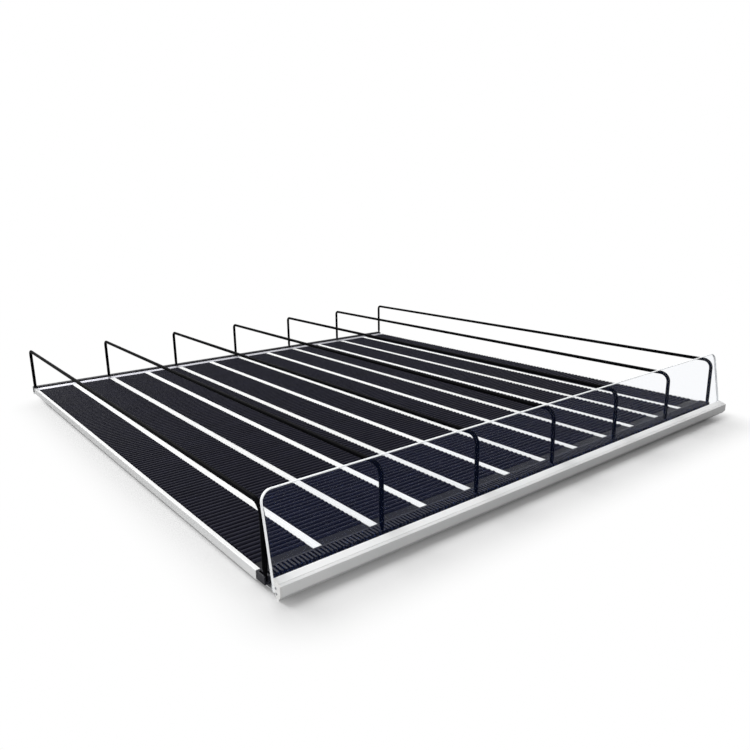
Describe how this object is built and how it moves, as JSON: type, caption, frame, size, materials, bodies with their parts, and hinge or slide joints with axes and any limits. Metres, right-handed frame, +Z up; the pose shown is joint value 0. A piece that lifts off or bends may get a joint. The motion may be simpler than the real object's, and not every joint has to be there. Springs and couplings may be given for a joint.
{
  "type": "gravity roller shelf",
  "caption": "Shallow gravity-feed shelf with roller tracks between white strips, bent-wire lane dividers standing in a toothed front bar, and a clear front stop panel.",
  "frame": {"origin": "middle of the shelf on the surface that it rests on", "axes": "+X across the lanes to the right, +Y from the front panel to the rear, +Z up"},
  "size_m": [0.7168, 0.7704, 0.082],
  "materials": {
    "white_coat": "white powder coat",
    "white_plastic": "white moulded plastic",
    "clear_panel": "clear acrylic sheet",
    "comb_black": "black moulded plastic",
    "track_black": "black moulded plastic",
    "roller_black": "smooth black plastic",
    "wire_black": "black satin coat on steel wire",
    "bare_aluminium": "mill finish"
  },
  "bodies": {
    "shelf": {"front_rail": "white_coat", "front_plate": "bare_aluminium", "groove_lip": "bare_aluminium", "side_rail_left": "white_coat", "side_rail_right": "white_coat", "end_cap_left": "white_plastic", "end_cap_right": "white_plastic", "front_comb": "comb_black", "rear_bar": "comb_black", "rear_rail": "bare_aluminium", "rear_cover": "bare_aluminium", "lane_strip_01": "white_coat", "lane_strip_02": "white_coat", "lane_strip_03": "white_coat", "lane_strip_04": "white_coat", "lane_strip_05": "white_coat", "lane_strip_06": "white_coat", "lane_strip_07": "white_coat", "lane_strip_08": "white_coat", "lane_strip_09": "white_coat", "lane_strip_10": "white_coat", "lane_strip_11": "white_coat", "roller_track_01": "track_black", "roller_track_02": "track_black", "roller_track_03": "track_black", "roller_track_04": "track_black", "roller_track_05": "track_black", "roller_track_06": "track_black", "roller_track_07": "track_black", "roller_track_08": "track_black", "roller_track_09": "track_black", "roller_track_10": "track_black", "roller_track_11": "track_black", "roller_track_12": "track_black"},
    "front_panel": {"front_panel": "clear_panel"},
    "wire_divider_1": {"wire_divider_1": "wire_black"},
    "wire_divider_2": {"wire_divider_2": "wire_black"},
    "wire_divider_3": {"wire_divider_3": "wire_black"},
    "wire_divider_4": {"wire_divider_4": "wire_black"},
    "wire_divider_5": {"wire_divider_5": "wire_black"},
    "wire_divider_6": {"wire_divider_6": "wire_black"},
    "wire_divider_7": {"wire_divider_7": "wire_black"},
    "front_roller_01": {"front_roller_01": "roller_black"},
    "front_roller_02": {"front_roller_02": "roller_black"},
    "front_roller_03": {"front_roller_03": "roller_black"},
    "front_roller_04": {"front_roller_04": "roller_black"},
    "front_roller_05": {"front_roller_05": "roller_black"},
    "front_roller_06": {"front_roller_06": "roller_black"},
    "front_roller_07": {"front_roller_07": "roller_black"},
    "front_roller_08": {"front_roller_08": "roller_black"},
    "front_roller_09": {"front_roller_09": "roller_black"},
    "front_roller_10": {"front_roller_10": "roller_black"},
    "front_roller_11": {"front_roller_11": "roller_black"},
    "front_roller_12": {"front_roller_12": "roller_black"}
  },
  "joints": [
    {"name": "panel_lift", "type": "slide", "parent": "shelf", "child": "front_panel", "axis": [0, 0.1736, 0.9848], "range_m": [0, 0.02]},
    {"name": "wire_divider_1_lift", "type": "slide", "parent": "shelf", "child": "wire_divider_1", "axis": [0, 0, 1], "range_m": [0, 0.008]},
    {"name": "wire_divider_2_lift", "type": "slide", "parent": "shelf", "child": "wire_divider_2", "axis": [0, 0, 1], "range_m": [0, 0.008]},
    {"name": "wire_divider_3_lift", "type": "slide", "parent": "shelf", "child": "wire_divider_3", "axis": [0, 0, 1], "range_m": [0, 0.008]},
    {"name": "wire_divider_4_lift", "type": "slide", "parent": "shelf", "child": "wire_divider_4", "axis": [0, 0, 1], "range_m": [0, 0.008]},
    {"name": "wire_divider_5_lift", "type": "slide", "parent": "shelf", "child": "wire_divider_5", "axis": [0, 0, 1], "range_m": [0, 0.008]},
    {"name": "wire_divider_6_lift", "type": "slide", "parent": "shelf", "child": "wire_divider_6", "axis": [0, 0, 1], "range_m": [0, 0.008]},
    {"name": "wire_divider_7_lift", "type": "slide", "parent": "shelf", "child": "wire_divider_7", "axis": [0, 0, 1], "range_m": [0, 0.008]},
    {"name": "front_roller_01_spin", "type": "hinge", "parent": "shelf", "child": "front_roller_01", "pos_m": [-0.3289, -0.33439, 0.0086], "axis": [1, 0, 0], "continuous": true},
    {"name": "front_roller_02_spin", "type": "hinge", "parent": "shelf", "child": "front_roller_02", "pos_m": [-0.27, -0.33439, 0.0086], "axis": [1, 0, 0], "continuous": true},
    {"name": "front_roller_03_spin", "type": "hinge", "parent": "shelf", "child": "front_roller_03", "pos_m": [-0.21, -0.33439, 0.0086], "axis": [1, 0, 0], "continuous": true},
    {"name": "front_roller_04_spin", "type": "hinge", "parent": "shelf", "child": "front_roller_04", "pos_m": [-0.15, -0.33439, 0.0086], "axis": [1, 0, 0], "continuous": true},
    {"name": "front_roller_05_spin", "type": "hinge", "parent": "shelf", "child": "front_roller_05", "pos_m": [-0.09, -0.33439, 0.0086], "axis": [1, 0, 0], "continuous": true},
    {"name": "front_roller_06_spin", "type": "hinge", "parent": "shelf", "child": "front_roller_06", "pos_m": [-0.03, -0.33439, 0.0086], "axis": [1, 0, 0], "continuous": true},
    {"name": "front_roller_07_spin", "type": "hinge", "parent": "shelf", "child": "front_roller_07", "pos_m": [0.03, -0.33439, 0.0086], "axis": [1, 0, 0], "continuous": true},
    {"name": "front_roller_08_spin", "type": "hinge", "parent": "shelf", "child": "front_roller_08", "pos_m": [0.09, -0.33439, 0.0086], "axis": [1, 0, 0], "continuous": true},
    {"name": "front_roller_09_spin", "type": "hinge", "parent": "shelf", "child": "front_roller_09", "pos_m": [0.15, -0.33439, 0.0086], "axis": [1, 0, 0], "continuous": true},
    {"name": "front_roller_10_spin", "type": "hinge", "parent": "shelf", "child": "front_roller_10", "pos_m": [0.21, -0.33439, 0.0086], "axis": [1, 0, 0], "continuous": true},
    {"name": "front_roller_11_spin", "type": "hinge", "parent": "shelf", "child": "front_roller_11", "pos_m": [0.27, -0.33439, 0.0086], "axis": [1, 0, 0], "continuous": true},
    {"name": "front_roller_12_spin", "type": "hinge", "parent": "shelf", "child": "front_roller_12", "pos_m": [0.3289, -0.33439, 0.0086], "axis": [1, 0, 0], "continuous": true}
  ]
}
